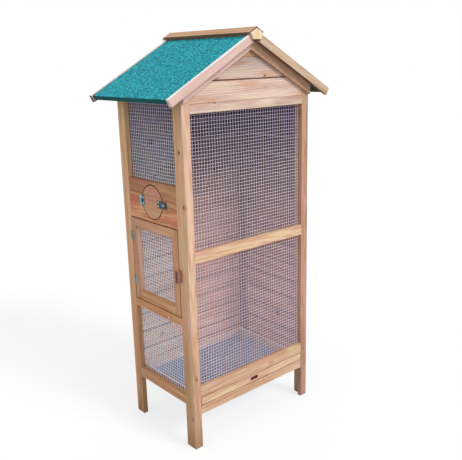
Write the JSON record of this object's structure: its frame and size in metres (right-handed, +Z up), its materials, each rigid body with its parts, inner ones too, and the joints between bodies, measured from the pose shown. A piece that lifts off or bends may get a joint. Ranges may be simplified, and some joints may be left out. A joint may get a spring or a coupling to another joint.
{
  "type": "wooden aviary",
  "caption": "Tall gabled wooden bird cage on four legs with mesh front and side, a hinged mesh door, a round hatch and a pull-out tray.",
  "frame": {"origin": "on the ground, below the middle of the roof", "axes": "+X to the right along the gabled front, +Y from the front to the back, +Z up"},
  "size_m": [0.792, 0.542, 1.58],
  "materials": {
    "front_timber": "planed softwood, clear oiled",
    "side_timber": "planed softwood, honey stained",
    "door_timber": "planed softwood, red-brown stained",
    "wall_boards": "shiplap boards, planed",
    "roof_panel": "rough board, unfinished underside",
    "roofing_felt": "teal mineral-faced bitumen felt",
    "wire_mesh": "galvanised welded wire",
    "zinc_fittings": "zinc plated",
    "zinc_tray": "galvanised sheet"
  },
  "bodies": {
    "cage": {"front_stile_left": "front_timber", "front_stile_right": "front_timber", "front_top_rail": "front_timber", "front_middle_rail": "front_timber", "front_bottom_rail": "front_timber", "front_lower_rail": "front_timber", "front_gable": "wall_boards", "front_rafter_left": "front_timber", "front_rafter_right": "front_timber", "front_upper_mesh": "wire_mesh", "front_lower_mesh": "wire_mesh", "left_front_stile": "side_timber", "left_back_stile": "side_timber", "left_top_rail": "side_timber", "hatch_board": "door_timber", "left_middle_rail": "side_timber", "left_bottom_rail": "side_timber", "left_upper_mesh": "wire_mesh", "left_lower_mesh": "wire_mesh", "door_hinge_fixed_leaves": "zinc_fittings", "hatch_hinge_fixed_leaf": "zinc_fittings", "right_front_stile": "side_timber", "right_back_stile": "side_timber", "right_top_rail": "side_timber", "right_bottom_rail": "side_timber", "right_wall": "wall_boards", "back_stile_left": "side_timber", "back_stile_right": "side_timber", "back_wall": "wall_boards", "roof_panel_left": "roof_panel", "roof_panel_right": "roof_panel", "felt_left": "roofing_felt", "felt_right": "roofing_felt", "ridge_bar": "front_timber", "front_barge_left": "front_timber", "front_barge_right": "front_timber", "back_barge_left": "front_timber", "back_barge_right": "front_timber", "tray_runner_left": "side_timber", "tray_runner_right": "side_timber"},
    "door": {"door_front_stile": "door_timber", "door_back_stile": "door_timber", "door_top_rail": "door_timber", "door_bottom_rail": "door_timber", "door_mesh": "wire_mesh", "door_hinge_moving_leaves": "zinc_fittings"},
    "hatch": {"hatch_disc": "door_timber", "hatch_hinge_moving_leaf": "zinc_fittings", "hatch_hasp": "zinc_fittings"},
    "button": {"turn_button": "door_timber"},
    "swivel": {"hatch_turn": "zinc_fittings"},
    "tray": {"tray_front": "front_timber", "tray_frame": "front_timber", "tray_sheet": "zinc_tray"}
  },
  "joints": [
    {"name": "door_hinge", "type": "hinge", "parent": "cage", "child": "door", "pos_m": [-0.3178, 0.1415, 0.708], "axis": [0, 0, -1], "range_deg": [0, 110]},
    {"name": "hatch_hinge", "type": "hinge", "parent": "cage", "child": "hatch", "pos_m": [-0.3183, 0.055, 0.9585], "axis": [0, 0, -1], "range_deg": [0, 100]},
    {"name": "button_turn", "type": "hinge", "parent": "cage", "child": "button", "pos_m": [-0.315, -0.173, 0.706], "axis": [1, 0, 0], "range_deg": [0, 90]},
    {"name": "swivel_turn", "type": "hinge", "parent": "cage", "child": "swivel", "pos_m": [-0.315, -0.089, 0.9585], "axis": [1, 0, 0], "range_deg": [0, 90]},
    {"name": "tray_slide", "type": "slide", "parent": "cage", "child": "tray", "axis": [0, -1, 0], "range_m": [0, 0.33]}
  ]
}
